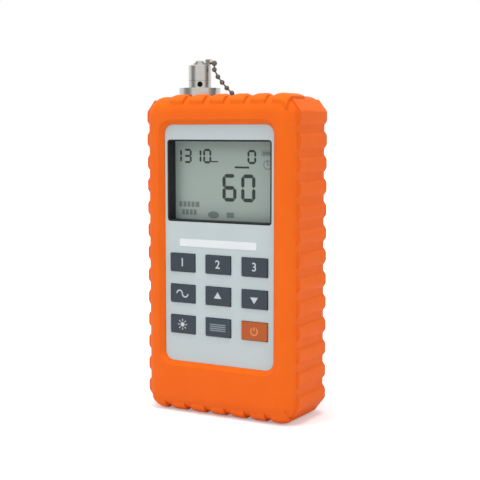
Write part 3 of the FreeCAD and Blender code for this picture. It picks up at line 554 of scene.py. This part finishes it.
def drawList(bm, across, up, face):
    for number in range(legend["listRows"]):
        rise = (number - (legend["listRows"] - 1) / 2) * legend["listPitch"]
        addBar(bm, legend["listWide"], legend["listTall"], legend["thick"], facing(across, up + rise, face))


def drawPower(bm, across, up, face):
    radius = legend["ringRadius"]
    addArc(bm, radius, legend["stroke"], legend["ringStart"], legend["ringSweep"], legend["thick"],
           facing(across, up, face))
    addBar(bm, legend["stroke"], radius, legend["thick"],
           facing(across, up + radius * legend["barRise"], face))


label = {"wide": 42.0, "tall": 3.6, "thick": 0.12, "across": -0.45, "up": 82.6, "round": 0.5, "roundSteps": 4}


def buildLabel():
    bm = bmesh.new()
    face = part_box("front_shell")[0].y
    thick = label["thick"]
    addBar(bm, label["wide"], label["tall"], thick, facing(label["across"], label["up"], face))
    corners = [edge for edge in bm.edges
               if abs(edge.verts[0].co.y - edge.verts[1].co.y) > thick * mm / 2]
    bmesh.ops.bevel(bm, geom=corners, offset=label["round"] * mm, offset_type="OFFSET", affect="EDGES",
                    segments=label["roundSteps"], profile=0.5, material=-1)
    finishPiece("bareLabel", bm, whiteVinyl, "meter")


keyPrints = {
    "key_1": (paleInk, drawNumeral("1")), "key_2": (paleInk, drawNumeral("2")),
    "key_3": (paleInk, drawNumeral("3")), "key_wave": (paleInk, drawWave),
    "key_up": (paleInk, drawArrow(0)), "key_down": (paleInk, drawArrow(180)),
    "key_light": (paleInk, drawSun), "key_list": (dimInk, drawList),
    "key_power": (keyInk, drawPower),
}
buildDisplayMarks()
buildDisplaySymbols()
buildLabel()
for name, (ink, draw) in keyPrints.items():
    buildLegend(name, ink, draw)
print("display, label and", len(keyPrints), "key legends ready")


# bead chain

chain = {
    "bead": 2.4, "firstBead": 2.7, "beadSides": 20, "beadRings": 12,
    "link": 0.8, "linkSides": 10, "linkFree": 0.6,
    "eyeletWide": 5.2, "eyeletHole": 2.3, "eyeletThick": 0.6, "eyeletSteps": 32,
    "lugRise": 0.65,  # the chain leaves the lug this far above the cap's end
    # each bead's place, as its share of the way along and of the height
    "course": [(0.0, 1.0), (0.0, 0.835), (0.055, 0.648), (0.122, 0.5), (0.195, 0.352), (0.274, 0.22),
               (0.356, 0.1), (0.456, 0.012), (0.562, 0.0), (0.666, 0.0), (0.769, 0.0), (0.866, 0.0)],
}


def addLink(bm, near, far):
    # a short wire between two beads
    way = far - near
    place = Matrix.Translation((near + far) / 2) @ way.to_track_quat("Z", "Y").to_matrix().to_4x4()
    radius = chain["link"] / 2 * mm
    bmesh.ops.create_cone(bm, cap_ends=True, segments=chain["linkSides"], radius1=radius, radius2=radius,
                          depth=way.length, matrix=place)


def buildChain():
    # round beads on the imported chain's course, from the cap's lug down to the eyelet behind the boot's top
    tag, cap, screw = (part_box(name) for name in ("swivel_tag", "dust_cap", "chain_screw"))
    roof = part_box("bead_chain")[0].z
    radius, free = chain["bead"] / 2 * mm, chain["linkFree"] * mm
    thick = chain["eyeletThick"]
    start = Vector((tag[1].x + free + radius, 0, cap[1].z + chain["lugRise"] * mm))
    anchor = (Vector(screw[0]) + Vector(screw[1])) / 2
    end = Vector((anchor.x, anchor.y, roof + radius))
    spots = [Vector((start.x + (end.x - start.x) * along, end.y * along, end.z + (start.z - end.z) * high))
             for along, high in chain["course"]]
    bm = bmesh.new()
    for number, spot in enumerate(spots):
        size = chain["firstBead"] if number == 0 else chain["bead"]
        bmesh.ops.create_uvsphere(bm, u_segments=chain["beadSides"], v_segments=chain["beadRings"],
                                  radius=size / 2 * mm, matrix=Matrix.Translation(spot))
    lead = Vector((tag[1].x - free, 0, start.z))
    finish = Vector((anchor.x - chain["eyeletWide"] / 2 * mm, anchor.y, roof + thick / 2 * mm))
    for near, far in zip([lead] + spots, spots + [finish]):
        addLink(bm, near, far)
    outer, inner = chain["eyeletWide"] / 2, chain["eyeletHole"] / 2
    addArc(bm, (outer + inner) / 2, outer - inner, 0, 360, thick,
           Matrix.Translation((anchor.x, anchor.y, roof)), chain["eyeletSteps"])
    piece = finishPiece("beadChain", bm, beadMetal, None, smooth=True)
    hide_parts("bead_chain")
    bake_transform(piece)


buildChain()
print("bead chain ready")


# crosses in the screw heads that can be seen
# The driver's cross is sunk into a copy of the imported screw, from the end that its axis points to.

recess = {
    "door_screw": {"axis": (0, 1, 0), "wide": 2.7, "arm": 0.6, "deep": 0.7},
    "chain_screw": {"axis": (0, 0, 1), "wide": 2.3, "arm": 0.55, "deep": 0.7},
}


def crossCutter(sizes, top, axis):
    # two crossed bars, half of them in the head
    bm = bmesh.new()
    for turn in (0, 90):
        place = (Matrix.Translation(top) @ axis.to_track_quat("Z", "Y").to_matrix().to_4x4()
                 @ Matrix.Rotation(math.radians(turn), 4, "Z"))
        bar = Matrix.Diagonal((sizes["wide"], sizes["arm"], 2 * sizes["deep"], 1))
        bmesh.ops.create_cube(bm, size=mm, matrix=place @ bar)
    return addMesh("cross", bm)


def buildRecessedScrew(name):
    sizes = recess[name]
    low, high = (Vector(corner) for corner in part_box(name))
    axis = Vector(sizes["axis"])
    top = (low + high) / 2 + axis * abs((high - low).dot(axis)) / 2
    bm = bmesh.new()
    bm.from_mesh(nodes[name].data)
    bmesh.ops.remove_doubles(bm, verts=bm.verts, dist=1e-6)
    piece = finishPiece(name + "_recessed", bm, zincSteel, None)
    cross = crossCutter(sizes, top, axis)
    cut = piece.modifiers.new("cross", "BOOLEAN")
    cut.operation = "DIFFERENCE"
    cut.solver = "EXACT"
    cut.use_self = True
    cut.object = cross
    bpy.context.view_layer.update()
    seen = piece.evaluated_get(bpy.context.evaluated_depsgraph_get())
    recessed = bpy.data.meshes.new_from_object(seen)
    piece.modifiers.clear()
    piece.data = recessed
    bpy.data.objects.remove(cross)
    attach(piece, nodeBodies[name])
    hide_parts(name)


for name in recess:
    buildRecessedScrew(name)
print("screw heads ready")


# light, floor and camera

studio = {
    "view": {"from": (270.3, -465.7, 136.6), "at": (2.3, 0, 83.4), "lens": 84.1, "sensor": 36.0},
    "skyLight": 0.4,
    # from here on lengths are in metres, angles in degrees and power in watts
    "clip": (0.01, 50),
    "lamps": [  # name, place, width, power
        ("keySoftbox", (-0.55, -0.75, 0.85), 0.7, 4.5),
        ("sideSoftbox", (0.85, -0.25, 0.45), 0.6, 2.3),
        ("topSoftbox", (0.0, -0.1, 1.0), 0.6, 7.0),
    ],
    "lampAim": (0, 0, 0.08),
    "flags": [-43, 109],  # compass angles from the front towards +X
    "flagSize": (0.95, 0.7), "flagDistance": 0.6, "flagHeight": 0.16,
    "flagLevel": 0.3, "flagFade": (0.1, 0.5),  # how bright its middle is, and where across it that ends
    "floorHalf": 6.0, "floorGrey": 0.85,
    "floorGlow": (0.3, 0.95), "glowFrom": 0.15, "glowTo": 0.9,
}


def aimAt(thing, target):
    way = Vector(target) - thing.location
    thing.rotation_euler = way.to_track_quat("-Z", "Y").to_euler()


def buildCamera():
    view = studio["view"]
    data = bpy.data.cameras.new("studioCamera")
    data.lens, data.sensor_width = view["lens"], view["sensor"]
    data.clip_start, data.clip_end = studio["clip"]
    camera = addObject("studioCamera", data)
    camera.location = Vector(view["from"]) * mm
    aimAt(camera, Vector(view["at"]) * mm)
    scene.camera = camera


def buildLamps():
    for name, place, size, power in studio["lamps"]:
        data = bpy.data.lights.new(name, "AREA")
        data.shape, data.size, data.energy = "SQUARE", size, power
        lamp = addObject(name, data)
        lamp.location = place
        aimAt(lamp, studio["lampAim"])
        lamp.visible_glossy = False  # metal then mirrors the even white room and not the lamps' squares


def buildWorld():
    # white wherever it is seen, straight, mirrored or through the window, and a weaker even light otherwise
    world = bpy.data.worlds.new("studioWorld")
    scene.world = world
    world.use_nodes = True
    tree = world.node_tree
    ray = addNode(tree, "LightPath").outputs
    mirrored = addNode(tree, "Math", {0: ray["Is Camera Ray"], 1: ray["Is Glossy Ray"]}, operation="MAXIMUM")
    seen = addNode(tree, "Math", {0: mirrored.outputs[0], 1: ray["Is Transmission Ray"]}, operation="MAXIMUM")
    level = addNode(tree, "MapRange", {"Value": seen.outputs[0], "To Min": studio["skyLight"], "To Max": 1.0})
    sky = tree.nodes["Background"]
    sky.inputs["Color"].default_value = (1, 1, 1, 1)
    tree.links.new(level.outputs["Result"], sky.inputs["Strength"])


def whitePaper():
    # matte white paper, lit up from behind more and more with the distance from the object
    grey = studio["floorGrey"]
    material, tree, shader = startMaterial("whitePaper", 0.9, Base_Color=(grey, grey, grey, 1),
                                           Emission_Color=(1, 1, 1, 1))
    ray = addNode(tree, "LightPath").outputs
    place = addNode(tree, "TexCoord").outputs["Object"]
    away = addNode(tree, "VectorMath", {0: place}, operation="LENGTH")
    low, high = studio["floorGlow"]
    glow = addNode(tree, "MapRange", {"Value": away.outputs["Value"], "From Min": studio["glowFrom"],
                                      "From Max": studio["glowTo"], "To Min": low, "To Max": high})
    shown = addNode(tree, "Math", {0: ray["Is Camera Ray"], 1: glow.outputs["Result"]},
                    operation="MULTIPLY")
    tree.links.new(shown.outputs[0], shader.inputs["Emission Strength"])
    return material


def buildFloor():
    # it shows white wherever the object's shadow leaves it
    bm = bmesh.new()
    bmesh.ops.create_grid(bm, x_segments=1, y_segments=1, size=studio["floorHalf"])
    addMesh("studioFloor", bm, whitePaper())


def graduatedCard():
    # bright at both sides and dark along its middle, with soft edges between
    material, tree, shader = startMaterial("graduatedCard", 1.0, Base_Color=(0, 0, 0, 1),
                                           Emission_Color=(1, 1, 1, 1))
    place = addNode(tree, "TexCoord").outputs["UV"]
    across = addNode(tree, "SeparateXYZ", {"Vector": place}).outputs["X"]
    middle = addNode(tree, "Math", {0: across, 1: 0.5}, operation="SUBTRACT")
    off = addNode(tree, "Math", {0: middle.outputs[0]}, operation="ABSOLUTE")
    start, end = studio["flagFade"]
    fade = addNode(tree, "MapRange", {"Value": off.outputs[0], "From Min": start, "From Max": end,
                                      "To Min": studio["flagLevel"], "To Max": 1.0},
                   interpolation_type="SMOOTHSTEP")
    tree.links.new(fade.outputs["Result"], shader.inputs["Emission Strength"])
    return material


def buildFlags():
    # cards that only reflections see: they draw the dark bands down round metal
    wide, tall = studio["flagSize"]
    card = graduatedCard()
    for number, angle in enumerate(studio["flags"]):
        bm = bmesh.new()
        bm.loops.layers.uv.new("across")
        bmesh.ops.create_grid(bm, x_segments=1, y_segments=1, size=0.5, calc_uvs=True)
        bmesh.ops.transform(bm, verts=bm.verts, matrix=(
            Matrix.Rotation(math.radians(angle), 4, "Z")
            @ Matrix.Translation((0, -studio["flagDistance"], studio["flagHeight"]))
            @ Matrix.Rotation(math.radians(90), 4, "X") @ Matrix.Diagonal((wide, tall, 1, 1))))
        flag = addMesh(f"darkFlag{number}", bm, card)
        flag.visible_camera = False
        flag.visible_diffuse = False
        flag.visible_shadow = False
        flag.visible_transmission = False


buildCamera()
buildLamps()
buildFlags()
buildWorld()
buildFloor()
scene.view_settings.view_transform = "Standard"
print("studio ready")
